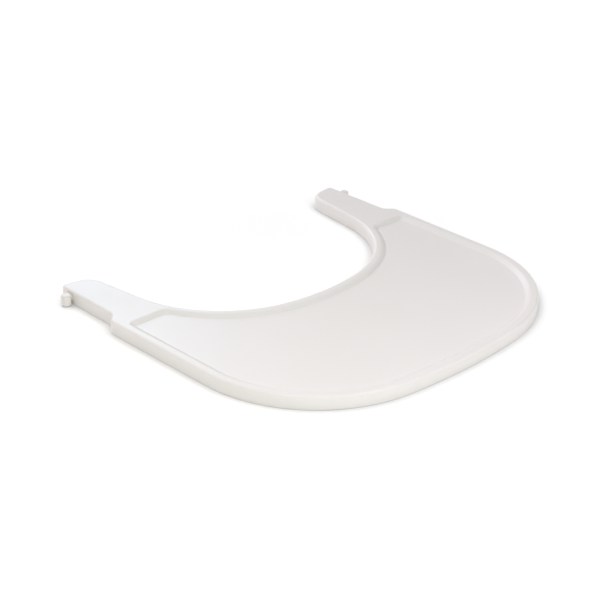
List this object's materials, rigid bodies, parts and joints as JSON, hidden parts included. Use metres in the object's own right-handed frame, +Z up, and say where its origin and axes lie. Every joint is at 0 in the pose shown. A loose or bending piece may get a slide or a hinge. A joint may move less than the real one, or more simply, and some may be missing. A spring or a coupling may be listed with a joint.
{
  "type": "high chair tray",
  "caption": "Click-on high chair tray with a sunk deck, raised rim, round cut-out for the child and a sprung latch with a finger release in each arm.",
  "frame": {"origin": "centre of the footprint, on the plane that the tray stands on", "axes": "+X to the right across the tray, +Y from the front edge towards the arm tips and the child, +Z up"},
  "size_m": [0.4784, 0.45, 0.017],
  "materials": {
    "tray_white": "satin moulded plastic",
    "cover_white": "fine-grained moulded plastic",
    "latch_white": "satin acetal",
    "grip_rubber": "soft matt elastomer",
    "steel": "zinc-plated, satin"
  },
  "bodies": {
    "tray": {"tray_shell": "tray_white", "right_arm_cover": "cover_white", "right_latch_spring": "steel", "right_lever_pin": "steel", "right_cover_screw_1": "steel", "right_cover_screw_2": "steel", "right_cover_screw_3": "steel", "right_cover_screw_4": "steel", "right_front_grip_pad": "grip_rubber", "right_rear_grip_pad": "grip_rubber", "left_arm_cover": "cover_white", "left_latch_spring": "steel", "left_lever_pin": "steel", "left_cover_screw_1": "steel", "left_cover_screw_2": "steel", "left_cover_screw_3": "steel", "left_cover_screw_4": "steel", "left_front_grip_pad": "grip_rubber", "left_rear_grip_pad": "grip_rubber"},
    "right_latch": {"right_latch_slider": "latch_white"},
    "right_lever": {"right_release_lever": "latch_white"},
    "left_latch": {"left_latch_slider": "latch_white"},
    "left_lever": {"left_release_lever": "latch_white"}
  },
  "joints": [
    {"name": "right_latch_slide", "type": "slide", "parent": "tray", "child": "right_latch", "axis": [-1, 0, 0], "range_m": [0, 0.009], "stiffness_N_per_m": 400, "springref_m": -0.004, "deforming": ["right_latch_spring"]},
    {"name": "right_lever_turn", "type": "hinge", "parent": "tray", "child": "right_lever", "pos_m": [0.205, 0.166, 0], "axis": [0, 0, 1], "range_deg": [0, 17.2]},
    {"name": "left_latch_slide", "type": "slide", "parent": "tray", "child": "left_latch", "axis": [1, 0, 0], "range_m": [0, 0.009], "stiffness_N_per_m": 400, "springref_m": -0.004, "deforming": ["left_latch_spring"]},
    {"name": "left_lever_turn", "type": "hinge", "parent": "tray", "child": "left_lever", "pos_m": [-0.205, 0.166, 0], "axis": [0, 0, -1], "range_deg": [0, 17.2]}
  ],
  "couplings": [
    {"joint": "right_lever_turn", "follows": "right_latch_slide", "rad_per_m": 33.333},
    {"joint": "left_lever_turn", "follows": "left_latch_slide", "rad_per_m": 33.333}
  ]
}
